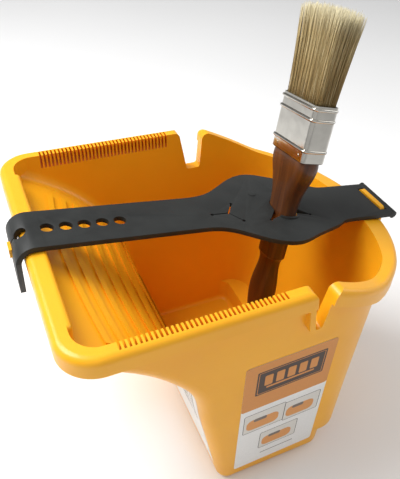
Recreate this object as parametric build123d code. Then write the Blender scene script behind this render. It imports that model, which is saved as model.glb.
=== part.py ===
from build123d import *
import math
import os

os.makedirs("parts", exist_ok=True)

# Tub outline, with the origin under the middle of the base
rim_height = 180.5
front_x = -138.5
half_width = 93.5
round_start_x = 8.2
rear_x = round_start_x + half_width
front_corner = 20.0
wall = 3.0
lip_reach = 5.5
lip_depth = 11.5
lip_skin = 2.5
lip_round = 4.0
body_draft = 5.0
base_rear_x = 50.0
base_corner = 13.0
foot_rear_x = 38.0
foot_corner = 11.0
foot_height = 20.0
rear_spread = 42.0
edge_round = 8.0
base_round = 5.0

# Rim behind the pouring notches, which falls in a steep and then a gentle slope
rim_crest_x = 2.0
rim_knee_x = 47.0
rim_knee_drop = 21.5
rim_rear_drop = 32.9
rim_knee_z = rim_height - rim_knee_drop
rim_rear_z = rim_height - rim_rear_drop
rim_crest_round = 8.0
rim_knee_round = 45.0

# Ramp from the front rim down to the well, as stations and depths below the rim
ramp_profile = [(-131.0, 9.5), (-114.5, 19.0), (-95.0, 33.2), (-77.6, 51.9), (-68.2, 65.9), (-62.0, 82.9)]
ramp_points = [(x, rim_height - depth) for x, depth in ramp_profile]
ramp_foot = (-58.0, rim_height - 105.0)
ramp_start_slope = 0.56
base_front_x = -44.5
ridge_count = 8
ridge_first_x = -116.0
ridge_last_x = -61.0
ridge_width = 3.4
ridge_height = 1.3
ridge_end_gap = 25.5
ridge_half_length = half_width - ridge_end_gap
ridge_sagitta = 5.0

# Thick grip in the middle of the front rim
grip_end_gap = 24.5
grip_half_length = half_width - grip_end_gap
grip_depth = 2.8
grip_round = 2.5

# Bristle combs in both side rims
comb_start_x = -111.0
comb_pitch = 2.5
comb_slots = 36
comb_slot = 1.25
comb_skin = 3.5
comb_reach = half_width - comb_skin
comb_depth = 9.5
comb_step = 2.6

# Pouring notches, each with its front edge, rear edge and the slants of both
near_notch = [-7.5, 6.2, 5.2, 4.4]
far_notch = [-13.4, 5.4, 6.9, 1.6]
notch_depth = 31.0
notch_round = 2.0
notch_mouth_round = 4.5
collar_width = 3.2
collar_reach = 3.6

# Peg and tab that hold the strap
peg_reach = 6.6
peg_y = 4.5
peg_width = 7.6
peg_height = 7.6
peg_drop = 8.0
peg_z = rim_height - peg_drop
tab_width = 26.0
tab_thickness = 3.8
tab_rise = 0.8
tab_gap = 0.3
tab_root = 2.2
tab_depth = 9.0

# Rubber strap
strap_thickness = 3.0
strap_seat_gap = 0.3
strap_rear_gap = 1.8
strap_front_half = 16.5
strap_disc_half = 39.5
strap_rear_half = 19.5
strap_front_y = 4.5
strap_disc_y = 4.0
strap_disc_x = 20.0
strap_disc_length = 112.0
strap_bend = 7.5
tail_length = 26.0
tail_tip_half = 7.0
hole_diameter = 7.6
hole_pitch = 10.3
hole_first_x = -123.8
hole_count = 5
bar_radius = 2.8
slot_clearance = 0.8
slit_length = 11.5
slit_width = 0.8
slit_end = 2.2
slit_x = -13.6
slit_y = 0.5
dot_x = 13.0
dot_y = 19.0
dot_radius = 2.6

# Arms of the opening round the brush
arm_length = 18.5
arm_root = 9.0
arm_angles = (-52, 60, 174)

# Brush that stands in the strap
brush_x = 27.0
brush_lean_x = 0.2114
brush_lean_y = 0.1611
ferrule_width = 38.6
ferrule_depth = 17.0
ferrule_corner = 2.6
ferrule_skin = 0.6
ferrule_foot = 38.0
ferrule_length = 35.0
bead_height = 0.5
bead_length = 1.5
handle_width = 22.0
handle_depth = 14.0
handle_fit = 0.35
handle_length = 112.0
flap_thickness = 1.8
flap_drop = 7.5
tang_length = 13.0
nail_diameter = 2.2
bristle_length = 51.0
bristle_columns = 33
bristle_rows = 12
bristle_side = 0.78
bristle_tip = 0.42
bristle_flare = 1.1
bristle_root = 12.0
root_thickness = 5.0

# Paper labels
label_width = 62.0
label_height = 116.0
label_x = -7.0
label_z = 69.5
label_lean = 2.0
label_thickness = 0.2
label_corner = 2.0
label_gap = 0.03
back_label_drop = 68.5
back_label_top = rim_height - back_label_drop
back_label_foot = 14.0
back_label_gap = 18.5
back_label_y = back_label_gap - half_width
back_label_width = 70.0


# Plan outline with straight sides and rounded front corners, closed by a rear end
def plan_face(z, front, half, corner, rear_end):
    c = corner
    k = c * (1 - math.sqrt(0.5))
    start = (rear_end[0] @ 0).X
    edges = rear_end + [
        Line((start, -half, z), (front + c, -half, z)),
        ThreePointArc((front + c, -half, z), (front + k, -half + k, z), (front, -half + c, z)),
        Line((front, -half + c, z), (front, half - c, z)),
        ThreePointArc((front, half - c, z), (front + k, half - k, z), (front + c, half, z)),
        Line((front + c, half, z), (start, half, z)),
    ]
    return make_face(edges)


# Rear end of a plan as a half circle
def round_end(z, half):
    far = (round_start_x, half, z)
    near = (round_start_x, -half, z)
    return [ThreePointArc(far, (round_start_x + half, 0, z), near)]


# Rear end of a plan as three arcs of a half circle
def arched_end(z, half):
    a = math.radians(rear_spread)
    angles = [math.pi / 2, (math.pi / 2 + a) / 2, a, 0, -a, -(math.pi / 2 + a) / 2, -math.pi / 2]
    pts = [(round_start_x + half * math.cos(t), half * math.sin(t), z) for t in angles]
    return [ThreePointArc(*pts[0:3]), ThreePointArc(*pts[2:5]), ThreePointArc(*pts[4:7])]


# Rear end of a plan as two rounded corners and a straight line
def square_end(z, half, rear, c):
    k = c * math.sqrt(0.5)
    far = ThreePointArc((rear - c, half, z), (rear - c + k, half - c + k, z), (rear, half - c, z))
    near = ThreePointArc((rear, c - half, z), (rear - c + k, c - half - k, z), (rear - c, -half, z))
    return [far, Line(far @ 1, near @ 0), near]


# Rim line in the side view, moved down by a step
def rim_line(step):
    slope = (rim_rear_z - rim_knee_z) / (rear_x - rim_knee_x)
    end = rear_x + 20
    pts = [
        (front_x - 10, 0, rim_height - step),
        (rim_crest_x, 0, rim_height - step),
        (rim_knee_x, 0, rim_knee_z - step),
        (end, 0, rim_knee_z + slope * (end - rim_knee_x) - step),
    ]
    return FilletPolyline(*pts, radius=[rim_crest_round, rim_knee_round])


# Ramp points moved off the upper face by a distance along the normal
def ramp_offset(d):
    pts = ramp_points + [ramp_foot]
    out = []
    for i, (x, z) in enumerate(pts):
        a = pts[max(i - 1, 0)]
        b = pts[min(i + 1, len(pts) - 1)]
        dx, dz = b[0] - a[0], b[1] - a[1]
        n = math.hypot(dx, dz)
        out.append((x + dz / n * d, 0, z - dx / n * d))
    return out


# Face in the side view swept over the whole width
def span_y(face):
    reach = half_width + 20
    return extrude(face.moved(Location((0, -reach, 0))), amount=2 * reach, dir=(0, 1, 0))


# Solid above the ramp and the floor
def ramp_area(d, floor, top):
    pts = ramp_offset(d)
    sx, _, sz = pts[0]
    fx, _, fz = pts[-1]
    lean = (base_front_x + wall - ramp_foot[0]) / ramp_foot[1]
    foot = (fx + lean * (fz - floor), 0, floor)
    curve = Spline(pts, tangents=[(1, 0, -ramp_start_slope), (lean, 0, -1)])
    end = rear_x + 20
    front = (sx - 22, 0, sz + 22 * ramp_start_slope)
    edges = [
        Line(front, pts[0]),
        curve,
        Line(pts[-1], foot),
        Line(foot, (end, 0, floor)),
        Line((end, 0, floor), (end, 0, top)),
        Line((end, 0, top), (front[0], 0, top)),
        Line((front[0], 0, top), front),
    ]
    return span_y(make_face(edges))


# Solid under the rim line, down to a level
def rim_area(step, low):
    curve = rim_line(step)
    a = curve @ 0
    b = curve @ 1
    edges = curve.edges() + [
        Line(b, (b.X, 0, low)),
        Line((b.X, 0, low), (a.X, 0, low)),
        Line((a.X, 0, low), a),
    ]
    return span_y(make_face(edges))


# Solid between the plan at the rim and the plan at the base, set in at the rear to a smaller foot
def tapered_body(inset, extra, reach):
    base_half = half_width - lip_reach - body_draft
    front = front_x + lip_reach + inset - reach
    corner = front_corner - lip_reach - inset * 0.5
    level = foot_height + inset

    def half(z):
        return base_half + body_draft * z / rim_height - inset

    def foot_plan(z):
        end = square_end(z, half(z), foot_rear_x - inset, foot_corner - inset)
        return plan_face(z, front, half(z), corner, end)

    z = rim_height + extra
    top = plan_face(z, front, half(z), corner, arched_end(z, half(z)))
    base_end = square_end(0, half(0), base_rear_x - inset, base_corner - inset)
    body = loft([plan_face(0, front, half(0), corner, base_end), top], ruled=True)
    below = Box(600, 600, level, align=(Align.CENTER, Align.CENTER, Align.MIN))
    return (body - below) + loft([foot_plan(0), foot_plan(level)], ruled=True)


# Notch outline in side view, grown by a margin, with its mouth flared in two arcs
def notch_face(notch, grow, mouth):
    front, rear, slant, rear_slant = notch
    z0 = rim_height - notch_depth - grow
    up = 16
    lean = slant / notch_depth
    rear_lean = rear_slant / notch_depth
    pts = [
        (front - lean * up - grow, rim_height + up),
        (front + slant - grow, z0),
        (rear - rear_slant + grow, z0),
        (rear + rear_lean * up + grow, rim_height + up),
    ]
    face = make_face(Polyline([(x, 0, z) for x, z in pts], close=True))
    face = fillet(face.vertices().sort_by(Axis.Z)[:2], notch_round + grow)
    if mouth == 0:
        return face
    rear_top = rim_height - rim_drop(rear)
    wide = make_face(Polyline([(front - 40, 0, rim_height), (rim_crest_x, 0, rim_height), (rear, 0, rear_top),
                               (rear + 30, 0, rear_top - rim_drop(rear + 30) + rim_drop(rear)),
                               (rear + 30, 0, rim_height + up), (front - 40, 0, rim_height + up)], close=True))
    joined = face + wide
    corners = [v for v in joined.vertices() if front - 2 < v.X < rear + 2 and rear_top - 2 < v.Z < rim_height + 0.1]
    corners = [v for v in corners if abs(v.X - rim_crest_x) > 0.01]
    return fillet(corners, mouth)


# Fall of the rim line from its height at a station
def rim_drop(x):
    return max(0, x - rim_crest_x) * (rim_height - rim_knee_z) / (rim_knee_x - rim_crest_x)


# Notch cutters or collars for both sides
def notch_solid(grow, mouth, y0, y1):
    near = extrude(notch_face(near_notch, grow, mouth), amount=y1 - y0, dir=(0, 1, 0)).moved(Location((0, -y1, 0)))
    far = extrude(notch_face(far_notch, grow, mouth), amount=y1 - y0, dir=(0, 1, 0)).moved(Location((0, y0, 0)))
    return near + far


# Slots of both combs
def comb_cutters():
    y0 = half_width - lip_reach - wall - 3
    z0 = rim_height - comb_depth
    top = rim_height + 5
    line = Polyline([(0, y0, z0 - 1), (0, y0 + 3, z0), (0, comb_reach, rim_height - comb_step),
                     (0, comb_reach, top), (0, y0, top)], close=True)
    blank = extrude(make_face(line), amount=comb_slot, dir=(1, 0, 0))
    tools = []
    for i in range(comb_slots):
        one = blank.moved(Location((comb_start_x + i * comb_pitch - comb_slot / 2, 0, 0)))
        tools.append(one)
        tools.append(one.mirror(Plane.XZ))
    return tools


# Raised ridges that arch across the ramp
def ramp_ridges():
    floor = ramp_foot[1] - 30
    skin = ramp_area(-ridge_height, floor, rim_height + 20)
    skin = ramp_area(0.6, floor, rim_height + 20) - skin
    middle = (ramp_foot[1] + rim_height) / 2
    radius = ridge_half_length ** 2 / 2 / ridge_sagitta
    out = []
    for i in range(ridge_count):
        t = i / (ridge_count - 1)
        x = ridge_first_x + (ridge_last_x - ridge_first_x) * t
        w = ridge_width * (1 - 0.35 * t)
        ring = Cylinder(radius + w / 2, 120) - Cylinder(radius - w / 2, 120)
        ring = ring.moved(Location((x + radius, 0, middle)))
        strip = ring & Box(40, 2 * ridge_half_length, 120).moved(Location((x + 8, 0, middle)))
        out.append(skin & strip)
    return out


# Block of the rim lip, moved in and down by a step
def lip_block(inset, step, low):
    half = half_width - inset
    plan = plan_face(low - 10, front_x + inset, half, front_corner - inset, round_end(low - 10, half))
    return extrude(plan, amount=rim_height, dir=(0, 0, 1)) & rim_area(step, low)


# Test for an edge on the outer top of the lip
def on_rim_outside(edge):
    mid = edge @ 0.5
    steep = abs((edge % 0.5).Z) > 0.9
    across = abs((edge % 0.5).Y) > 0.99 and front_x + 1 < mid.X < rear_x - 1
    return mid.Z > rim_rear_z - 2 and not steep and not across


# Test for an edge where the ramp meets a side, above a floor
def beside_ramp(edge, floor):
    mid = edge @ 0.5
    run = edge % 0.5
    side = abs(mid.Y) > half_width - 22 and mid.X < base_front_x + 4
    slanted = abs(run.Y) < 0.8 and abs(run.X) > 0.02
    return side and slanted and floor + 0.1 < mid.Z < rim_height - 5


# Body inside or outside, with its edges rounded
def rounded_body(inset, extra, floor, radius, foot_radius):
    body = tapered_body(inset, extra, 20) & ramp_area(wall - inset, floor, rim_height + 20)
    body = fillet([e for e in body.edges() if beside_ramp(e, floor)], radius)
    return fillet([e for e in body.edges() if abs((e @ 0.5).Z - floor) < 0.01], foot_radius)


# Peg under the front lip, flat on top and round below, grown by a margin
def front_peg(grow, reach):
    r = peg_width / 2 + grow
    top = peg_z + peg_height / 2 + grow
    low = peg_z - peg_height / 2 - grow
    outline = [
        Line((0, -r, top), (0, -r, low + r)),
        ThreePointArc((0, -r, low + r), (0, 0, low), (0, r, low + r)),
        Line((0, r, low + r), (0, r, top)),
        Line((0, r, top), (0, -r, top)),
    ]
    peg = extrude(make_face(outline), amount=reach + 1, dir=(-1, 0, 0))
    return peg.moved(Location((front_x + 1, peg_y, 0)))


# Tab behind the rear lip that stands in the slot of the strap
def rear_tab():
    top = strap_point(rear_x, strap_thickness)[1] + tab_rise
    low = rim_rear_z - tab_depth
    root_top = rim_rear_z - lip_round - 0.5
    plate = Box(tab_thickness - tab_gap, tab_width, top - low)
    plate = plate.moved(Location((rear_x + (tab_thickness + tab_gap) / 2, 0, (top + low) / 2)))
    plate = fillet(plate.edges().filter_by(Axis.X).group_by(Axis.Z)[-1], 2.5)
    root = Box(tab_thickness + tab_root, tab_width, root_top - low)
    return plate + root.moved(Location((rear_x + (tab_thickness - tab_root) / 2, 0, (root_top + low) / 2)))


# Block that gives the front of the body its rounded corners
def front_trim(inset):
    half = half_width - lip_reach - inset + 0.2
    plan = plan_face(-1, front_x + lip_reach + inset, half, front_corner - lip_reach - inset / 2,
                     square_end(-1, half, rear_x + 40, 20))
    return extrude(plan, amount=rim_height + 20, dir=(0, 0, 1))


# Tub in one moulding
def make_tub():
    core = rounded_body(0, 0, 0, edge_round, base_round)
    core = core & front_trim(0) & rim_area(0, -1)
    below = rim_rear_z - 70
    lip = lip_block(0, 0, below)
    lip = fillet([e for e in lip.edges() if on_rim_outside(e)], lip_round)
    wide = half_width + 5
    under = plan_face(below - 20, front_x - 5, wide, front_corner, round_end(below - 20, wide))
    under = extrude(under, amount=rim_height, dir=(0, 0, 1)) & rim_area(lip_depth, below - 20)
    lip = lip - under
    groove = lip_block(lip_skin, lip_skin, below)
    comb_length = comb_pitch * (comb_slots - 1)
    bar = Box(comb_length + 8, 2 * half_width, comb_depth + 1)
    bar = bar.moved(Location((comb_start_x + comb_length / 2, 0, rim_height - (comb_depth + 1) / 2)))
    groove = groove - bar
    cut = notch_solid(0, notch_mouth_round, half_width - 30, half_width + 20)
    y0 = half_width - lip_reach - 3
    collar = notch_solid(collar_width, 0, y0, half_width - lip_reach + collar_reach) & rim_area(2, 100)
    shell = (lip - groove) + core + collar
    grip = Box(wall + grip_depth, 2 * grip_half_length, 16)
    grip = grip.moved(Location((front_x + lip_reach + (wall + grip_depth) / 2, 0, rim_height - 8)))
    grip = fillet(grip.edges().filter_by(Axis.Z).group_by(Axis.X)[-1], grip_depth - 0.2)
    grip = fillet(grip.edges().filter_by(Axis.Y).group_by(Axis.X)[-1].group_by(Axis.Z)[-1], grip_round)
    cavity = rounded_body(wall, 6, wall, edge_round - 1, base_round - 1.5)
    cavity = cavity & front_trim(wall)
    shell = shell - cavity - cut
    shell = shell + grip
    shell = shell - comb_cutters()
    shell = shell + ramp_ridges()
    return shell + front_peg(0, peg_reach) + rear_tab()


# Underside height of the strap at a station, and points above it
def strap_slope():
    front = front_x + lip_reach + wall + grip_depth
    rise = rim_height + strap_seat_gap - (rim_rear_z + strap_rear_gap)
    return front, rise / (rear_x - front)


def strap_point(x, up):
    front, slope = strap_slope()
    n = math.hypot(1, slope)
    z = rim_height + strap_seat_gap - slope * (x - front)
    return x + up * slope / n, z + up / n


# Plane on the underside of the strap, with its X axis running to the rear
def strap_plane(x):
    px, pz = strap_point(x, 0)
    slope = strap_slope()[1]
    return Plane(origin=(px, 0, pz), x_dir=(1, 0, -slope), z_dir=(slope, 0, 1))


# Outline of the strap on its own plane
def strap_outline(start, end):
    stretch = math.hypot(1, strap_slope()[1])
    f, d, r = strap_front_half, strap_disc_half, strap_rear_half
    c = (strap_disc_x - start) * stretch
    h = strap_disc_length / 2 * stretch
    last = (end - start) * stretch
    curves = []
    for side in (1, -1):
        fy, dy = side * strap_front_y, side * strap_disc_y
        pts = [(c - h, f + fy), (c - h * 0.72, f + 2.5 + fy), (c - h * 0.34, d - 6.5 + dy), (c, d + dy),
               (c + h * 0.34, d - 6.5 + dy * 0.8), (c + h * 0.72, r + 4.5 + dy * 0.3), (c + h, r)]
        curves.append(Spline([(x, side * y) for x, y in pts], tangents=[(1, 0), (1, 0)]))
    top, low = curves
    far, near = f + strap_front_y, strap_front_y - f
    edges = [
        Line((0, near), (0, far)), Line((0, far), (c - h, far)), top, Line((c + h, r), (last, r)),
        Line((last, r), (last, -r)), Line((last, -r), (c + h, -r)), low, Line((c - h, near), (0, near)),
    ]
    return make_face(edges)


# Three slits that meet in a point, on the strap plane
def star_face(length, width, end):
    tool = Circle(width)
    for angle in (180, 55, -55):
        arm = Rectangle(length, width, align=(Align.MIN, Align.CENTER))
        arm = arm + Circle(end / 2).moved(Location((length, 0, 0)))
        tool = tool + arm.moved(Rotation(0, 0, angle))
    return tool


# Three arms of the brush opening, which widen towards the handle
def opening_arms():
    tool = Circle(3)
    for angle in arm_angles:
        wedge = make_face(Polyline([(2, -arm_root / 2), (arm_length, -slit_width / 2),
                                    (arm_length, slit_width / 2), (2, arm_root / 2)], close=True))
        wedge = wedge + Circle(slit_end / 2).moved(Location((arm_length, 0, 0)))
        tool = tool + wedge.moved(Rotation(0, 0, angle))
    return tool


# Frame of the brush, with Z up its handle and X across its width
def brush_plane():
    x, z = strap_point(brush_x, strap_thickness)
    up = math.sqrt(1 - brush_lean_x ** 2 - brush_lean_y ** 2)
    return Plane(origin=(x, 0, z), x_dir=(-0.02, -0.985, 0.169), z_dir=(brush_lean_x, brush_lean_y, up))


# Rounded rectangle that stays valid when it is thin
def pad(width, depth):
    return RectangleRounded(width, depth, min(width, depth) / 2 * 0.92)


# Strap with its holes, slits, brush opening, rear slot and end bar
def make_strap():
    start = front_x + lip_reach + wall + grip_depth
    plane = strap_plane(start)
    stretch = math.hypot(1, strap_slope()[1])
    bar_x = bar_station()
    sheet = extrude(strap_outline(start, bar_x), amount=strap_thickness)
    sheet = plane.from_local_coords(sheet)
    tools = []
    for i in range(hole_count):
        at = (hole_first_x + i * hole_pitch - start) * stretch
        tools.append(Cylinder(hole_diameter / 2, 12).moved(Location((at, strap_front_y, 0))))
    slit = extrude(star_face(slit_length, slit_width, slit_end), amount=12).moved(Location((0, 0, -4)))
    tools.append(slit.moved(Location(((slit_x - start) * stretch, slit_y, 0))))
    length = (tab_thickness + 2 * slot_clearance + 0.4) * stretch
    slot = Box(length, tab_width + 2 * slot_clearance, 14)
    tools.append(slot.moved(Location(((rear_x + tab_thickness / 2 - 0.2 - start) * stretch, 0, 0))))
    sheet = sheet - [plane.from_local_coords(t) for t in tools]
    frame = brush_plane()
    opening = extrude(pad(handle_width + 2 * handle_fit, handle_depth + 2 * handle_fit), amount=30)
    opening = opening.moved(Location((0, 0, -15)))
    arms = extrude(opening_arms(), amount=16).moved(Location((0, 0, -8)))
    outer = extrude(pad(handle_width + 2 * (handle_fit + flap_thickness),
                        handle_depth + 2 * (handle_fit + flap_thickness)), amount=flap_drop + 1.5)
    outer = outer.moved(Location((0, 0, -flap_drop - strap_thickness + 0.5)))
    wedge = make_face(Polyline([(-9.0, 4), (9.0, 4), (0, -flap_drop - strap_thickness - 3)], close=True))
    wedge = extrude(Plane.XZ.from_local_coords(wedge), amount=-30)
    wedges = [wedge.moved(Rotation(0, 0, a)) for a in (-90, 30, 150)]
    flaps = outer & (wedges[0] + wedges[1] + wedges[2])
    body = sheet + frame.from_local_coords(flaps)
    body = body - frame.from_local_coords(opening) - frame.from_local_coords(arms)
    bx, bz = strap_point(bar_x, strap_thickness / 2)
    bar = Cylinder(bar_radius, 2 * strap_rear_half, rotation=(90, 0, 0)).moved(Location((bx, 0, bz)))
    dot = Cylinder(dot_radius, 0.8).moved(Location(((dot_x - start) * stretch, dot_y, strap_thickness)))
    dot = plane.from_local_coords(dot)
    return body + bar + dot


# Station of the end bar behind the tab
def bar_station():
    return rear_x + tab_thickness + slot_clearance + bar_radius - 0.4


# Front end of the strap, bent down over the lip, with its peg hole
def make_tail():
    start = front_x + lip_reach + wall + grip_depth
    t = strap_thickness
    slope = strap_slope()[1]
    x0, z0 = strap_point(start, 0)
    x1, z1 = strap_point(start, t)
    drop = peg_z - tail_length
    inner = front_x - strap_seat_gap - 2.0
    corner = (inner, 0, z0 + slope * (x0 - inner))
    outer = (inner - t, 0, z1 + slope * (x1 - inner + t))
    low = FilletPolyline((x0, 0, z0), corner, (inner, 0, drop), radius=strap_bend)
    top = FilletPolyline((x1, 0, z1), outer, (inner - t, 0, drop), radius=strap_bend + t)
    edges = low.edges() + top.edges() + [Line((x0, 0, z0), (x1, 0, z1)), Line(low @ 1, top @ 1)]
    area = make_face(edges)
    side = strap_front_y - strap_front_half
    tail = extrude(area.moved(Location((0, side, 0))), amount=2 * strap_front_half, dir=(0, 1, 0))
    z_mid = peg_z + 6
    h = strap_front_half
    trim = make_face(Polyline([(0, -h - 1, z_mid + 40), (0, h + 1, z_mid + 40), (0, h + 1, z_mid),
                               (0, tail_tip_half, drop), (0, -tail_tip_half, drop), (0, -h - 1, z_mid)],
                              close=True))
    tail = tail & extrude(trim.moved(Location((inner - t - 5, strap_front_y, 0))), amount=80, dir=(1, 0, 0))
    hole = front_peg(strap_seat_gap, peg_reach + 10)
    slit = Box(20, 0.9, 2 * hole_diameter + 3).moved(Location((inner, peg_y, peg_z)))
    tail = tail - hole - slit
    a = math.radians(28)
    cx, cz = inner + strap_bend, z0 + slope * (x0 - inner - strap_bend) - strap_bend
    bend = Cylinder(hole_diameter / 2, 30, rotation=(0, -28, 0))
    bend = bend.moved(Location((cx - 12 * math.sin(a), strap_front_y, cz + 12 * math.cos(a))))
    return tail - bend


# Wooden handle as a chain of rounded sections
def make_handle():
    w, d = handle_width, handle_depth
    fw, fd = ferrule_width - 2 * ferrule_skin, ferrule_depth - 2 * ferrule_skin
    s = ferrule_foot
    rows = [
        (-handle_length, 5.0, 4.0), (-handle_length + 3, 8.5, 6.5), (-handle_length * 0.9, 12.0, 9.0),
        (-handle_length * 0.7, 18.0, 12.5), (-handle_length * 0.5, w - 0.6, d - 0.2), (-handle_length * 0.3, w, d),
        (0, w, d), (s * 0.12, w + 0.4, d), (s * 0.38, w + 4.5, d + 0.6), (s * 0.68, fw - 1.5, fd),
        (s * 0.86, fw + 1.6, fd + 1.2), (s - 0.6, fw + 0.6, fd + 0.6),
    ]
    sections = [pad(a, b).moved(Location((0, 0, z))) for z, a, b in rows]
    grip = loft(sections[:6], ruled=False) + extrude(sections[5], amount=handle_length * 0.3)
    grip = grip + loft(sections[6:], ruled=False)
    tang = extrude(RectangleRounded(fw - 0.2, fd - 0.2, ferrule_corner - ferrule_skin - 0.1),
                   amount=tang_length + 0.6).moved(Location((0, 0, s - 0.6)))
    return grip + tang


# Metal ferrule with rolled beads
def make_ferrule():
    w, d, c = ferrule_width, ferrule_depth, ferrule_corner
    inner = RectangleRounded(w - 2 * ferrule_skin, d - 2 * ferrule_skin, c - ferrule_skin)
    body = extrude(RectangleRounded(w, d, c), amount=ferrule_length)
    for at in (6.5, ferrule_length - 9.5, ferrule_length - 3.0):
        bead = extrude(RectangleRounded(w + 2 * bead_height, d + 2 * bead_height, c + bead_height),
                       amount=bead_length)
        bead = chamfer(bead.edges().group_by(Axis.Z)[0] + bead.edges().group_by(Axis.Z)[-1], 0.45)
        body = body + bead.moved(Location((0, 0, at)))
    body = body - extrude(inner, amount=ferrule_length)
    return body.moved(Location((0, 0, ferrule_foot)))


# Four nails through the ferrule into the handle
def make_nails():
    nails = []
    for x in (-ferrule_width * 0.33, ferrule_width * 0.33):
        for side in (-1, 1):
            pin = Cylinder(nail_diameter / 2, 6, rotation=(90, 0, 0))
            nails.append(pin.moved(Location((x, side * (ferrule_depth / 2 + 0.25 - 3), ferrule_foot + 3.0))))
    return nails


# Bristle bundle: tapered strands on a slice of their bonded root
def make_bristles():
    w = ferrule_width - 2 * ferrule_skin - 0.2
    d = ferrule_depth - 2 * ferrule_skin - 0.2
    top = ferrule_foot + ferrule_length
    foot = top - bristle_root
    root = extrude(RectangleRounded(w, d, ferrule_corner - ferrule_skin - 0.1), amount=root_thickness)
    root = root.moved(Location((0, 0, foot)))
    step_x = (w - 1.6) / (bristle_columns - 1)
    step_y = (d - 1.6) / (bristle_rows - 1)
    strands = []
    for i in range(bristle_columns):
        for j in range(bristle_rows):
            if i in (0, bristle_columns - 1) and j in (0, bristle_rows - 1):
                continue
            u = i - (bristle_columns - 1) / 2
            v = j - (bristle_rows - 1) / 2
            a = bristle_side / 2
            b = bristle_tip / 2
            wave = math.sin(i * 2.4 + j * 4.1) * 0.5 + math.sin(i * 5.3 - j * 1.7) * 0.5
            dx = math.sin(i * 1.9 + j * 3.3) * 0.22
            dy = math.cos(i * 3.7 + j * 2.1) * 0.22
            high = top + bristle_length + wave * 2.2 - 0.004 * (u * step_x) ** 2
            low = Rectangle(2 * a, 2 * a).moved(Location((u * step_x, v * step_y, foot + root_thickness - 0.5)))
            neck = Rectangle(2 * a, 2 * a).moved(Location((u * step_x, v * step_y, top)))
            tip = Rectangle(2 * b, 2 * b).moved(
                Location((u * step_x * bristle_flare + dx, v * step_y * bristle_flare * 1.1 + dy, high)))
            strands.append(loft([low, neck, tip], ruled=True))
    return root.fuse(*strands)


# Label on the near side wall
def make_side_label():
    lean = body_draft / rim_height
    y = -(half_width - lip_reach - body_draft + lean * label_z)
    plane = Plane(origin=(label_x, y, label_z), x_dir=(1, 0, 0), z_dir=(0, -1, -lean))
    sheet = extrude(RectangleRounded(label_width, label_height, label_corner), amount=label_thickness)
    return plane.from_local_coords(sheet.moved(Rotation(0, 0, label_lean)))


# Label on the wall below the ramp, which follows its curve
def make_back_label():
    near = wall + label_gap
    skin = ramp_area(near + label_thickness, 10, rim_height) - ramp_area(near, 5, rim_height + 5)
    size = Box(60, back_label_width, back_label_top - back_label_foot)
    mid = (back_label_top + back_label_foot) / 2
    return skin & size.moved(Location((-60, back_label_y + back_label_width / 2, mid)))


# Handle and ferrule with the nails let in
def brush_parts():
    nails = make_nails()
    handle = make_handle()
    ferrule = make_ferrule()
    for nail in nails:
        handle = handle - nail
        ferrule = ferrule - nail
    frame = brush_plane()
    group = nails[0].fuse(*nails[1:])
    return [
        ("brush_handle", frame.from_local_coords(handle)),
        ("brush_ferrule", frame.from_local_coords(ferrule)),
        ("ferrule_nails", frame.from_local_coords(group)),
        ("bristles", frame.from_local_coords(make_bristles())),
    ]


if __name__ == "__main__":
    nodes = [("tub", make_tub()), ("strap", make_strap()), ("strap_tail", make_tail()),
             ("side_label", make_side_label()), ("back_label", make_back_label())]
    nodes = nodes + brush_parts()
    for name, shape in nodes:
        export_step(shape, "parts/" + name + ".step")
        box = shape.bounding_box()
        print(name, shape.is_valid, len(shape.solids()), len(shape.faces()), round(shape.volume / 1000, 2),
              [round(v, 1) for v in (box.min.X, box.min.Y, box.min.Z, box.max.X, box.max.Y, box.max.Z)])
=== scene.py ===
import math
import random

import bmesh
import bpy
from mathutils import Euler, Matrix, Vector


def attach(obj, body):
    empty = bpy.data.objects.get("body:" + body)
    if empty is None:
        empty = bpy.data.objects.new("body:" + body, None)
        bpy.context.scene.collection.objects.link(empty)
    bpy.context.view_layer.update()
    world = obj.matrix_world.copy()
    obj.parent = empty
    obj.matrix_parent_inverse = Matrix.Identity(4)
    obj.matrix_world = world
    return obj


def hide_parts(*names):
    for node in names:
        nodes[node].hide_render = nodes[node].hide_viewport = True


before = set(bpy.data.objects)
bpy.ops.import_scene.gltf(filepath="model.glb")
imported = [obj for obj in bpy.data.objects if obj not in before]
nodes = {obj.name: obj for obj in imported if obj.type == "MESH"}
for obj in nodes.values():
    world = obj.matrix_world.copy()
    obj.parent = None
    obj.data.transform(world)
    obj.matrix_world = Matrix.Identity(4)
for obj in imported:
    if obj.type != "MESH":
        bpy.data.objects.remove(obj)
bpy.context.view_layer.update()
scene = bpy.context.scene
scene.view_settings.view_transform = "Standard"
scene.view_settings.look = "None"

# Tub, with the source's sizes in metres
rim_height = 0.1805
rim_rear_z = 0.1476
front_x = -0.1385
rear_x = 0.1017
half_width = 0.0935
wall = 0.003
lip_reach = 0.0055
body_draft = 0.005
grip_depth = 0.0028

# Combs in both side rims, and how far their shade reaches past a slot, as a share of the pitch
comb_start = -0.111
comb_pitch = 0.0025
comb_slot = 0.00125
comb_slots = 36
comb_end = comb_start + (comb_slots - 1) * comb_pitch
comb_skin = 0.0035
comb_depth = 0.0095
comb_top_gap = 0.0004
comb_shade_room = 0.02

# Strap, which runs straight from the front lip down to the rear lip
strap_start = front_x + lip_reach + wall + grip_depth
strap_seat_gap = 0.0003
strap_rear_gap = 0.0018
strap_fall = rim_height + strap_seat_gap - rim_rear_z - strap_rear_gap
strap_slope = strap_fall / (rear_x - strap_start)
strap_thickness = 0.003
strap_round = 0.00055
strap_round_steps = 3
strap_round_angle = math.radians(38)
strap_flat_angle = math.radians(1.5)
weld = 0.00002

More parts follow.
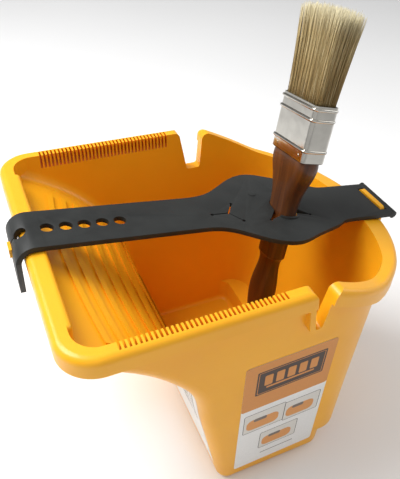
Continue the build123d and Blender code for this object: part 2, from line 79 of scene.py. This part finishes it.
# Brush, with heights along its own axis
brush_x = 0.027
brush_lean = (0.2114, 0.1611)
brush_side = Vector((-0.02, -0.985, 0.169))
ferrule_foot = 0.038
ferrule_length = 0.035
ferrule_top = ferrule_foot + ferrule_length
ferrule_width = 0.0386
ferrule_depth = 0.0170
ferrule_corner = 0.0026
ferrule_skin = 0.0006
bead_steps = (0.0065, 0.0255, 0.0320)
bead_length = 0.0015
bead_radius = 0.0009
bead_stretch = 1.1
bead_sides = 12

# Bristle bundle, with its strands in a grid that is a little out of order
bundle_gap = 0.0001
bundle_width = ferrule_width - 2 * ferrule_skin - 2 * bundle_gap
bundle_depth = ferrule_depth - 2 * ferrule_skin - 2 * bundle_gap
bundle_edge = 0.0003
bundle_power = 8
bristle_length = 0.051
bristle_columns = 74
bristle_rows = 28
bristle_shift = 0.35

# Single strands, which vary in length, flare and curl and taper to the tip
strand_root = 0.004
strand_excess = 0.0035
strand_steps = 6
strand_sides = 3
strand_radii = (0.00016, 0.00024)
strand_gain = (0.001, 0.0012)
strand_side_loss = 0.002
strand_flare = (0.20, 0.42)
strand_spread = 0.0004
strand_curl = 0.00025
strand_side_bend = 1.3
strand_waves = (3.1, 2.6)
strand_turn = 0.7
taper_start = 0.8
taper_rate = 3.6

# Labels, with the side label's own X along the tub and Y up
label_x = -0.007
label_z = 0.0695
label_lean = math.radians(2.0)
label_width = 0.062
label_height = 0.116
label_thickness = 0.0002
paper_shade = 0.93
bars_y = (-0.072, -0.012)
bars_z = (0.062, 0.100)

# Foot and top of each printed layer, from the face of the paper
layers = {
    "field": (-0.00005, 0.00003),
    "box": (0.0, 0.00006),
    "block": (0.00002, 0.00010),
    "picture": (-0.00004, 0.00003),
    "frame": (-0.00003, 0.00006),
    "shape": (0.0, 0.00005),
    "mark": (0.00002, 0.00008),
    "rule": (-0.00004, 0.00004),
}

# Print of the side label, where a picture and the rule have X, Y, width and height
field_foot = 0.0823 - label_z
field_height = label_height / 2 - field_foot
field_corner = 0.0018
box_x = 0.001
box_y = field_foot + field_height * 0.58
box_width = label_width * 0.77
box_height = field_height * 0.52
box_corner = 0.0010
box_line_insets = (0.0011, 0.0015)
box_line_corners = (0.0008, 0.0006)
block_count = 5
block_pitch = box_width * 0.165
block_size = (box_width * 0.115, box_height * 0.42)
block_rise = 0.0014
block_corner = 0.0009
band_size = (box_width * 0.70, box_height * 0.07)
band_drop = 0.0056
band_corner = 0.0004
pictures = [
    (-0.0130, -0.0037, 0.0300, 0.0215),
    (0.0150, -0.0052, 0.0270, 0.0215),
    (0.0005, -0.0312, 0.0290, 0.0200),
]
picture_inset = 0.0004
picture_corner = 0.001
frame_width = 0.00035
frame_corner = 0.0013
shape_shift = (-0.001, -0.0022)
shape_share = (0.78, 0.54)
shape_corner_share = 0.2
mark_shift = (-0.003, 0.0022)
mark_share = (0.32, 0.15)
mark_corner_share = 0.06
rule = (0.0015, -0.0485, 0.026, 0.0007)
rule_corner = 0.0002

# Camera of the photograph, with its image in pixels, its place in metres and its turn in degrees
photo_width = 400
photo_height = 479
photo_focal = 563.776
photo_centre = (224.942, 243.864)
sensor_width = 36.0
camera_clip = (0.02, 20)
camera_place = (-0.1519052, -0.2516125, 0.3803553)
camera_turn = (50.32373, -4.14326, -25.31886)

# Soft lights, each as name, place, target, size and power
soft_lights = [
    ("key", (-0.55, 0.30, 0.95), (0, 0, 0.1), (0.6, 0.6), 13.5),
    ("front", (-0.25, -0.95, 0.6), (0, 0, 0.08), (0.9, 0.6), 0.3),
    ("right", (0.9, -0.1, 0.6), (0, 0, 0.12), (0.5, 0.7), 2.0),
]
floor_reach = 12.0
floor_drop = 0.0003

# Sky with soft boxes between gaps, both lost in an even level at the horizon and high up
sky_boxes = 3.0
sky_levels = (0.06, 0.50)
sky_gap = (-0.95, -0.2)
sky_haze = (0.10, 0.30)
sky_upper = (0.25, 0.75)
sky_strength = 0.62

# Sockets of a mix node, as factor, first value, second value and result
mix_sockets = {"FLOAT": (0, 2, 3, 0), "RGBA": (0, 6, 7, 2)}


# Short forms for the nodes of a material or of the world
class Nodes:
    def __init__(self, tree):
        self.tree = tree

    def link(self, source, socket):
        self.tree.links.new(source, socket)

    def feed(self, socket, value):
        if isinstance(value, (int, float)):
            socket.default_value = value
        elif isinstance(value, tuple):
            socket.default_value = (*value, 1.0)
        else:
            self.link(value, socket)

    def split(self, vector):
        node = self.tree.nodes.new("ShaderNodeSeparateXYZ")
        self.link(vector, node.inputs[0])
        return node.outputs["X"], node.outputs["Y"], node.outputs["Z"]

    def math(self, kind, *values):
        node = self.tree.nodes.new("ShaderNodeMath")
        node.operation = kind
        for socket, value in zip(node.inputs, values):
            self.feed(socket, value)
        return node.outputs["Value"]

    def product(self, first, *others):
        for other in others:
            first = self.math("MULTIPLY", first, other)
        return first

    def within(self, value, low, high):
        return self.product(self.math("GREATER_THAN", value, low), self.math("LESS_THAN", value, high))

    def remap(self, value, to_low, to_high, low=0.0, high=1.0):
        node = self.tree.nodes.new("ShaderNodeMapRange")
        node.inputs["From Min"].default_value = low
        node.inputs["From Max"].default_value = high
        node.inputs["To Min"].default_value = to_low
        node.inputs["To Max"].default_value = to_high
        self.link(value, node.inputs["Value"])
        return node.outputs["Result"]

    def mix(self, factor, first, second, kind="RGBA"):
        node = self.tree.nodes.new("ShaderNodeMix")
        node.data_type = kind
        *sockets, result = mix_sockets[kind]
        for index, value in zip(sockets, (factor, first, second)):
            self.feed(node.inputs[index], value)
        return node.outputs[result]


# Material with one shader, textured in the coordinates of its object
class Shader(Nodes):
    def __init__(self, name, **values):
        self.material = bpy.data.materials.new(name)
        self.material.use_nodes = True
        super().__init__(self.material.node_tree)
        self.surface = self.tree.nodes["Principled BSDF"]
        self.place = self.tree.nodes.new("ShaderNodeTexCoord").outputs["Object"]
        for key, value in values.items():
            self.surface.inputs[key.replace("_", " ")].default_value = value

    def mapping(self, scale=(1, 1, 1), rotation=(0, 0, 0), location=(0, 0, 0), source=None):
        node = self.tree.nodes.new("ShaderNodeMapping")
        node.inputs["Scale"].default_value = scale
        node.inputs["Rotation"].default_value = rotation
        node.inputs["Location"].default_value = location
        self.link(source or self.place, node.inputs["Vector"])
        return node.outputs["Vector"]

    def noise(self, scale, detail=2.0, rough=0.5, vector=None, distortion=0.0):
        node = self.tree.nodes.new("ShaderNodeTexNoise")
        node.inputs["Scale"].default_value = scale
        node.inputs["Detail"].default_value = detail
        node.inputs["Roughness"].default_value = rough
        node.inputs["Distortion"].default_value = distortion
        self.link(vector or self.place, node.inputs["Vector"])
        return node.outputs["Fac"]

    def ramp(self, value, stops):
        node = self.tree.nodes.new("ShaderNodeValToRGB")
        while len(node.color_ramp.elements) < len(stops):
            node.color_ramp.elements.new(0.5)
        for element, (at, colour) in zip(node.color_ramp.elements, stops):
            element.position = at
            element.color = (*colour, 1.0)
        self.link(value, node.inputs["Fac"])
        return node.outputs["Color"]

    def bump(self, height, strength, distance, normal=None):
        node = self.tree.nodes.new("ShaderNodeBump")
        node.inputs["Strength"].default_value = strength
        node.inputs["Distance"].default_value = distance
        self.link(height, node.inputs["Height"])
        if normal:
            self.link(normal, node.inputs["Normal"])
        return node.outputs["Normal"]

    def finish(self, colour, rough, normal=None):
        self.link(colour, self.surface.inputs["Base Color"])
        self.feed(self.surface.inputs["Roughness"], rough)
        if normal:
            self.link(normal, self.surface.inputs["Normal"])
        return self.material


# One inside the slots of both combs, where painted shade darkens the deep slots
def painted_slot_shade(shader):
    x, y, z = shader.split(shader.place)
    shift = comb_slot / 2 + comb_pitch * comb_shade_room - comb_start
    turn = shader.math("FRACT", shader.math("DIVIDE", shader.math("ADD", x, shift), comb_pitch))
    return shader.product(
        shader.math("LESS_THAN", turn, comb_slot / comb_pitch + 2 * comb_shade_room),
        shader.within(x, comb_start - comb_slot, comb_end + comb_slot),
        shader.within(z, rim_height - comb_depth, rim_height - comb_top_gap),
        shader.math("LESS_THAN", shader.math("ABSOLUTE", y), half_width - comb_skin),
    )


# Moulded polypropylene with a fine satin grain
def tub_material():
    deep, full = (0.84, 0.375, 0.009), (0.90, 0.425, 0.014)
    speck, shade = (0.94, 0.52, 0.03), (0.70, 0.13, 0.003)
    shader = Shader("tub_polypropylene", Metallic=0.0, IOR=1.49, Specular_IOR_Level=0.38,
                    Subsurface_Weight=0.12, Subsurface_Scale=0.004, Subsurface_Radius=(1.0, 0.45, 0.1))
    cloud = shader.noise(14, 4, 0.55)
    fine = shader.noise(420, 3, 0.6)
    base = shader.ramp(cloud, [(0.3, deep), (0.7, full)])
    base = shader.mix(shader.remap(fine, 0.0, 0.10), base, speck)
    # Painted shade in the comb slots, mixed in as a dark red-brown
    base = shader.mix(shader.math("MULTIPLY", painted_slot_shade(shader), 0.85), base, shade)
    smear = shader.noise(38, 5, 0.6, shader.mapping((1.0, 1.0, 0.35)))
    wave = shader.bump(shader.noise(60, 1, 0.4), 0.08, 0.001)
    grain = shader.bump(shader.noise(1900, 2, 0.5), 0.10, 0.00012, wave)
    return shader.finish(base, shader.remap(smear, 0.24, 0.40), grain)


# Dark grey rubber with a matt skin and faint dust
def rubber_material():
    black, grey, dusty = (0.014, 0.015, 0.0145), (0.024, 0.026, 0.025), (0.06, 0.06, 0.058)
    shader = Shader("strap_rubber", IOR=1.45, Specular_IOR_Level=0.35)
    dust = shader.noise(55, 5, 0.65)
    speck = shader.noise(900, 2, 0.6)
    base = shader.ramp(dust, [(0.3, black), (0.75, grey)])
    base = shader.mix(shader.remap(speck, 0.0, 0.35, 0.6, 0.9), base, dusty)
    grain = shader.bump(shader.noise(1500, 3, 0.6), 0.22, 0.00015)
    return shader.finish(base, shader.remap(dust, 0.42, 0.62), grain)


# Texture coordinates along the axes of the brush
def brush_axes(shader, brush, location=(0, 0, 0)):
    turn = brush.inverted().to_euler("XYZ")
    return shader.mapping(rotation=tuple(turn), location=location)


# Varnished red-brown wood with grain along the handle
def wood_material(brush):
    dark, red, pale = (0.022, 0.007, 0.002), (0.075, 0.022, 0.004), (0.17, 0.055, 0.010)
    pore = (0.028, 0.008, 0.004)
    shader = Shader("varnished_handle", IOR=1.45, Coat_Weight=0.30, Coat_Roughness=0.05, Coat_IOR=1.45)
    along = shader.mapping((1.0, 1.0, 0.045), source=brush_axes(shader, brush))
    grain = shader.noise(520, 5, 0.65, along, 0.3)
    band = shader.noise(70, 3, 0.6, along, 1.2)
    base = shader.ramp(band, [(0.25, dark), (0.55, red), (0.8, pale)])
    base = shader.mix(shader.remap(grain, 0.0, 0.65, 0.45, 0.75), base, pore)
    return shader.finish(base, shader.remap(grain, 0.3, 0.5), shader.bump(grain, 0.12, 0.0002))


# Bright tinned steel with faint rolling marks
def metal_material(brush):
    dull, bright = (0.50, 0.48, 0.44), (0.60, 0.58, 0.53)
    shader = Shader("tinned_steel", Metallic=1.0)
    across = shader.mapping((0.1, 0.1, 1.0), source=brush_axes(shader, brush))
    mark = shader.noise(300, 4, 0.6, across)
    cloud = shader.noise(90, 4, 0.6)
    base = shader.ramp(cloud, [(0.3, dull), (0.7, bright)])
    dent = shader.bump(shader.noise(60, 2, 0.5), 0.3, 0.001)
    return shader.finish(base, shader.remap(cloud, 0.07, 0.16), shader.bump(mark, 0.06, 0.0001, dent))


# Coated paper or print of one colour
def paper_material(name, colour):
    shader = Shader(name)
    fibre = shader.noise(700, 4, 0.6)
    darker = tuple(c * paper_shade for c in colour)
    base = shader.ramp(fibre, [(0.3, darker), (0.7, colour)])
    crease = shader.bump(shader.noise(240, 3, 0.5), 0.12, 0.0002)
    return shader.finish(base, shader.remap(fibre, 0.33, 0.46), crease)


# Coated paper with a block of plain bars of uneven width
def bar_material():
    white, black = (0.82, 0.81, 0.79), (0.03, 0.03, 0.03)
    shader = Shader("bar_label_paper")
    y, z = shader.split(shader.place)[1:]
    across = shader.tree.nodes.new("ShaderNodeCombineXYZ")
    shader.link(y, across.inputs["Y"])
    bars = shader.noise(900, 0, 0.5, across.outputs[0])
    dark = shader.product(shader.math("GREATER_THAN", bars, 0.52), shader.within(z, *bars_z),
                          shader.within(y, *bars_y))
    return shader.finish(shader.mix(dark, white, black), shader.remap(shader.noise(700, 3), 0.34, 0.46))


# Natural bristle, darker at the root and pale at the split tips
def bristle_material(brush):
    root, lower = (0.28, 0.19, 0.07), (0.46, 0.34, 0.145)
    upper, tip = (0.60, 0.48, 0.24), (0.80, 0.72, 0.48)
    shadow, shine = (0.16, 0.10, 0.035), (0.86, 0.78, 0.54)
    shader = Shader("natural_bristle", IOR=1.5, Specular_IOR_Level=0.35)
    local = brush_axes(shader, brush, tuple(brush.inverted().translation))
    height = shader.split(local)[2]
    along = shader.remap(height, 0.0, 1.0, ferrule_top, ferrule_top + bristle_length)
    base = shader.ramp(along, [(0.0, root), (0.35, lower), (0.75, upper), (1.0, tip)])
    strand = shader.noise(900, 2, 0.6, shader.mapping((1, 1, 0.02), source=local))
    base = shader.mix(shader.remap(strand, 0.0, 0.7, 0.4, 0.75), base, shadow)
    base = shader.mix(shader.remap(strand, 0.0, 0.6, 0.45, 0.2), base, shine)
    return shader.finish(base, shader.remap(strand, 0.42, 0.6))


# Height of the strap's upper face at a station
def strap_height(x):
    stretch = math.hypot(1, strap_slope)
    start = strap_start + strap_thickness * strap_slope / stretch
    return rim_height + strap_seat_gap - strap_slope * (x - start) + strap_thickness / stretch


# Rotation that brings X and Z onto two directions at a right angle
def turn_to(x, z):
    return Matrix((x, z.cross(x), z)).transposed().to_4x4()


# Place of the brush, with Z along its axis
def brush_frame():
    lean_x, lean_y = brush_lean
    z = Vector((lean_x, lean_y, math.sqrt(1 - lean_x ** 2 - lean_y ** 2))).normalized()
    x = (brush_side - z * brush_side.dot(z)).normalized()
    return Matrix.Translation((brush_x, 0, strap_height(brush_x))) @ turn_to(x, z)


# Place of the side label, with X along the tub and Z off the paper
def label_frame():
    lean = body_draft / rim_height
    y = -(half_width - lip_reach - body_draft + lean * label_z)
    turn = turn_to(Vector((1, 0, 0)), Vector((0, -1, -lean)).normalized())
    return Matrix.Translation((label_x, y, label_z)) @ turn @ Matrix.Rotation(label_lean, 4, "Z")


# Object made of a bmesh, which rides with a body of the part
def add_mesh(name, bm, material, body, smooth=True):
    mesh = bpy.data.meshes.new(name)
    bm.to_mesh(mesh)
    bm.free()
    mesh.materials.append(material)
    if smooth:
        mesh.polygons.foreach_set("use_smooth", [True] * len(mesh.polygons))
    obj = bpy.data.objects.new(name, mesh)
    scene.collection.objects.link(obj)
    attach(obj, body)
    return obj


# Material of a node that is kept as it is
def paint(node, material):
    slots = nodes[node].data.materials
    for index in range(len(slots)):
        slots[index] = material
    if len(slots) == 0:
        slots.append(material)


# One tapered strand that bends outward along its length
def add_strand(bm, root, reach, curl, radius, length, turn):
    rings = []
    for step in range(strand_steps + 1):
        t = step / strand_steps
        x = root[0] + reach[0] * t * t + curl[0] * math.sin(t * strand_waves[0])
        y = root[1] + reach[1] * (t ** strand_side_bend) + curl[1] * math.sin(t * strand_waves[1])
        z = ferrule_top - strand_root + t * (length + strand_root)
        r = radius * (1.0 if t < taper_start else 1.0 - (t - taper_start) * taper_rate)
        angles = [side * math.tau / strand_sides + turn for side in range(strand_sides)]
        rings.append([bm.verts.new((x + r * math.cos(a), y + r * math.sin(a), z)) for a in angles])
    for low, high in zip(rings, rings[1:]):
        for a in range(strand_sides):
            b = (a + 1) % strand_sides
            bm.faces.new((low[a], low[b], high[b], high[a]))
    bm.faces.new(rings[-1])
    bm.faces.new(tuple(reversed(rings[0])))


# Fine strands that fill the ferrule and split a little at their tips
def make_bristles(brush, material):
    rng = random.Random(7)
    bm = bmesh.new()
    for i in range(bristle_columns):
        for j in range(bristle_rows):
            u = (i + 0.5 + rng.uniform(-bristle_shift, bristle_shift)) / bristle_columns * 2 - 1
            v = (j + 0.5 + rng.uniform(-bristle_shift, bristle_shift)) / bristle_rows * 2 - 1
            if abs(u) ** bundle_power + abs(v) ** bundle_power > 1.0:
                continue
            x, y = u * (bundle_width / 2 - bundle_edge), v * (bundle_depth / 2 - bundle_edge)
            length = bristle_length + rng.gauss(*strand_gain) - strand_side_loss * abs(u) ** 3
            length = min(length, bristle_length + strand_excess)
            reach_x = x * strand_flare[0] + rng.gauss(0, strand_spread)
            reach_y = y * strand_flare[1] + rng.gauss(0, strand_spread)
            curl_x = rng.gauss(0, strand_curl)
            curl_y = rng.gauss(0, strand_curl)
            radius = rng.uniform(*strand_radii)
            turn = i * strand_turn + j
            add_strand(bm, (x, y), (reach_x, reach_y), (curl_x, curl_y), radius, length, turn)
    bm.transform(brush)
    obj = add_mesh("bristle_bundle", bm, material, "brush")
    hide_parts("bristles")


# Welded copy of a node's solid, moved a little along the strap
def loose_copy(name, step):
    bm = bmesh.new()
    bm.from_mesh(nodes[name].data)
    bmesh.ops.remove_doubles(bm, verts=bm.verts, dist=weld)
    bmesh.ops.translate(bm, verts=bm.verts, vec=(step, 0, -step * strap_slope))
    mesh = bpy.data.meshes.new(name + "_copy")
    bm.to_mesh(mesh)
    bm.free()
    obj = bpy.data.objects.new(name + "_copy", mesh)
    scene.collection.objects.link(obj)
    return obj


# One continuous rubber strap with rounded edges, in the place of its two solids
def make_strap(material):
    long, end = loose_copy("strap", 0.0), loose_copy("strap_tail", 2 * weld)
    join = long.modifiers.new("join", "BOOLEAN")
    join.operation = "UNION"
    join.solver = "EXACT"
    join.object = end
    graph = bpy.context.evaluated_depsgraph_get()
    joined = bpy.data.meshes.new_from_object(long.evaluated_get(graph))
    bm = bmesh.new()
    bm.from_mesh(joined)
    for item in (long, end):
        bpy.data.objects.remove(item)
    bmesh.ops.remove_doubles(bm, verts=bm.verts, dist=weld)
    bmesh.ops.dissolve_limit(bm, angle_limit=strap_flat_angle, verts=bm.verts, edges=bm.edges)
    bmesh.ops.recalc_face_normals(bm, faces=bm.faces)
    for face in bm.faces:
        face.material_index = 0
    obj = add_mesh("rubber_strap", bm, material, "strap")
    bevel = obj.modifiers.new("edges", "BEVEL")
    bevel.width = strap_round
    bevel.segments = strap_round_steps
    bevel.limit_method = "ANGLE"
    bevel.angle_limit = strap_round_angle
    bevel.use_clamp_overlap = True
    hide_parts("strap", "strap_tail")


# Corner points of a rounded rectangle
def round_rect(x, y, width, height, corner, steps=5):
    points = []
    for side_x, side_y, start in ((1, 1, 0), (-1, 1, 90), (-1, -1, 180), (1, -1, 270)):
        corner_x = x + side_x * (width / 2 - corner)
        corner_y = y + side_y * (height / 2 - corner)
        for step in range(steps + 1):
            a = math.radians(start + 90 * step / steps)
            points.append((corner_x + corner * math.cos(a), corner_y + corner * math.sin(a)))
    return points


# Rounded rectangle that lies inside another by an inset
def inset_rect(x, y, width, height, inset, corner):
    return round_rect(x, y, width - 2 * inset, height - 2 * inset, corner)


# Round rolled beads over the flat ones of the ferrule
def make_beads(brush, material):
    path = round_rect(0, 0, ferrule_width, ferrule_depth, ferrule_corner, steps=6)
    count = len(path)
    for index, bead_step in enumerate(bead_steps):
        height = ferrule_foot + bead_step + bead_length / 2
        bm = bmesh.new()
        rings = []
        for k, (x, y) in enumerate(path):
            ax, ay = path[(k + 1) % count]
            bx, by = path[k - 1]
            out = Vector((ay - by, bx - ax, 0)).normalized()
            ring = []
            for side in range(bead_sides):
                turn = math.tau * side / bead_sides
                point = Vector((x, y, height)) + out * bead_radius * math.cos(turn)
                point.z += bead_radius * bead_stretch * math.sin(turn)
                ring.append(bm.verts.new(point))
            rings.append(ring)
        for k in range(count):
            a, b = rings[k], rings[(k + 1) % count]
            for m in range(bead_sides):
                n = (m + 1) % bead_sides
                bm.faces.new((a[m], b[m], b[n], a[n]))
        bmesh.ops.recalc_face_normals(bm, faces=bm.faces)
        bm.transform(brush)
        obj = add_mesh("ferrule_bead_%d" % (index + 1), bm, material, "brush")


# Thin printed patch on the side label, as a closed plate with or without a hole
def print_patch(name, label, layer, ink, outline, hole=None):
    low, high = (label_thickness + step for step in layers[layer])
    bm = bmesh.new()
    loops = []
    for points in [outline] + ([hole] if hole else []):
        bottom = [bm.verts.new((x, y, low)) for x, y in points]
        top = [bm.verts.new((x, y, high)) for x, y in points]
        loops.append((bottom, top))
    count = len(outline)
    for index, (bottom, top) in enumerate(loops):
        for a in range(count):
            b = (a + 1) % count
            quad = (bottom[a], bottom[b], top[b], top[a])
            bm.faces.new(quad if index == 0 else tuple(reversed(quad)))
    if hole:
        (bottom, top), (hole_bottom, hole_top) = loops
        for a in range(count):
            b = (a + 1) % count
            bm.faces.new((top[a], top[b], hole_top[b], hole_top[a]))
            bm.faces.new((bottom[b], bottom[a], hole_bottom[a], hole_bottom[b]))
    else:
        bm.faces.new(loops[0][1])
        bm.faces.new(tuple(reversed(loops[0][0])))
    bm.transform(label)
    obj = add_mesh(name, bm, ink, "kettle", smooth=False)


# Rounded rectangle in a picture, by a shift from its middle and shares of its size
def picture_rect(picture, shift, share, corner):
    x, y, width, height = picture
    return round_rect(x + shift[0], y + shift[1], width * share[0], height * share[1], height * corner)


# Upper field of the side label, with a dark box that holds a line, blocks and a band
def print_upper_field(label, tan, brown):
    field_y = field_foot + field_height / 2
    print_patch("print_field", label, "field", tan,
                round_rect(0, field_y, label_width, field_height, field_corner))
    box = (box_x, box_y, box_width, box_height)
    print_patch("print_box", label, "box", brown, round_rect(*box, box_corner))
    line, inside = (inset_rect(*box, *size) for size in zip(box_line_insets, box_line_corners))
    print_patch("print_box_line", label, "block", tan, line, inside)
    for i in range(block_count):
        x = box_x + (i - block_count // 2) * block_pitch
        print_patch("print_block_%d" % (i + 1), label, "block", tan,
                    round_rect(x, box_y + block_rise, *block_size, block_corner))
    print_patch("print_band", label, "block", tan,
                round_rect(box_x, box_y - band_drop, *band_size, band_corner))


# Three framed fields, each with a plain shape and a short bar
def print_pictures(label, brown, grey):
    orange = paper_material("print_orange", (0.72, 0.30, 0.07))
    tint = paper_material("print_tint", (0.72, 0.69, 0.64))
    for i, picture in enumerate(pictures):
        name = "print_picture_%d" % (i + 1)
        print_patch(name, label, "picture", tint, inset_rect(*picture, picture_inset, picture_corner))
        print_patch(name + "_line", label, "frame", brown, round_rect(*picture, frame_corner),
                    inset_rect(*picture, frame_width, picture_corner))
        print_patch(name + "_orange", label, "shape", orange,
                    picture_rect(picture, shape_shift, shape_share, shape_corner_share))
        print_patch(name + "_dark", label, "mark", grey,
                    picture_rect(picture, mark_shift, mark_share, mark_corner_share))


# Printed fields of the side label, in plain blocks of colour
def dress_label():
    label = label_frame()
    tan = paper_material("print_tan", (0.66, 0.26, 0.05))
    brown = paper_material("print_brown", (0.045, 0.022, 0.014))
    grey = paper_material("print_grey", (0.16, 0.13, 0.11))
    print_upper_field(label, tan, brown)
    print_pictures(label, brown, grey)
    print_patch("print_rule", label, "rule", grey, round_rect(*rule, rule_corner))


# Camera of the photograph, from its focal length and centre in pixels
def make_camera():
    data = bpy.data.cameras.new("camera")
    cam = bpy.data.objects.new("camera", data)
    scene.collection.objects.link(cam)
    scene.camera = cam
    data.sensor_fit = "AUTO"
    data.sensor_width = sensor_width
    data.lens = photo_focal * sensor_width / photo_height
    data.shift_x = (photo_width / 2 - photo_centre[0]) / photo_height
    data.shift_y = (photo_centre[1] - photo_height / 2) / photo_height
    data.clip_start, data.clip_end = camera_clip
    turn = Euler([math.radians(angle) for angle in camera_turn])
    cam.matrix_world = Matrix.Translation(camera_place) @ turn.to_matrix().to_4x4()


# Rectangular light that faces its target
def area_light(name, place, target, size, power):
    data = bpy.data.lights.new(name, "AREA")
    data.shape = "RECTANGLE"
    data.size, data.size_y = size
    data.energy = power
    obj = bpy.data.objects.new(name, data)
    scene.collection.objects.link(obj)
    obj.location = place
    obj.rotation_mode = "QUATERNION"
    obj.rotation_quaternion = (Vector(target) - Vector(place)).to_track_quat("-Z", "Y")


# Pale room with darker gaps between its soft boxes, for the metal to mirror
def make_sky():
    world = bpy.data.worlds.new("world")
    world.use_nodes = True
    sky = Nodes(world.node_tree)
    coords = sky.tree.nodes.new("ShaderNodeTexCoord")
    x, y, z = sky.split(coords.outputs["Generated"])
    around = sky.math("MULTIPLY", sky.math("ARCTAN2", y, x), sky_boxes)
    boxes = sky.remap(sky.math("SINE", around), *sky_levels, *sky_gap)
    upper = sky.mix(sky.remap(z, 0.0, 1.0, *sky_upper), boxes, 1.0, "FLOAT")
    level = sky.mix(sky.remap(z, 0.0, 1.0, *sky_haze), 1.0, upper, "FLOAT")
    back = sky.tree.nodes["Background"]
    sky.link(sky.math("MULTIPLY", level, sky_strength), back.inputs["Strength"])
    back.inputs["Color"].default_value = (1, 1, 1, 1)
    scene.world = world


# Pale floor, sky and soft lights round the part
def make_stage():
    bm = bmesh.new()
    bmesh.ops.create_grid(bm, x_segments=2, y_segments=2, size=floor_reach)
    mesh = bpy.data.meshes.new("floor")
    bm.to_mesh(mesh)
    bm.free()
    shader = Shader("floor")
    pale, white = (0.86, 0.86, 0.86), (0.88, 0.88, 0.88)
    base = shader.ramp(shader.noise(3), [(0.3, pale), (0.7, white)])
    mesh.materials.append(shader.finish(base, 0.75))
    floor = bpy.data.objects.new("floor", mesh)
    floor.location = (0, 0, -floor_drop)
    scene.collection.objects.link(floor)
    make_sky()
    for light in soft_lights:
        area_light(*light)


# All pieces, from the tub to the print of its label
def main():
    brush = brush_frame()
    make_camera()
    make_stage()
    paint("tub", tub_material())
    make_strap(rubber_material())
    paint("side_label", paper_material("label_paper", (0.83, 0.82, 0.80)))
    paint("back_label", bar_material())
    paint("brush_handle", wood_material(brush))
    steel = metal_material(brush)
    paint("brush_ferrule", steel)
    paint("ferrule_nails", steel)
    make_beads(brush, steel)
    make_bristles(brush, bristle_material(brush))
    dress_label()


main()
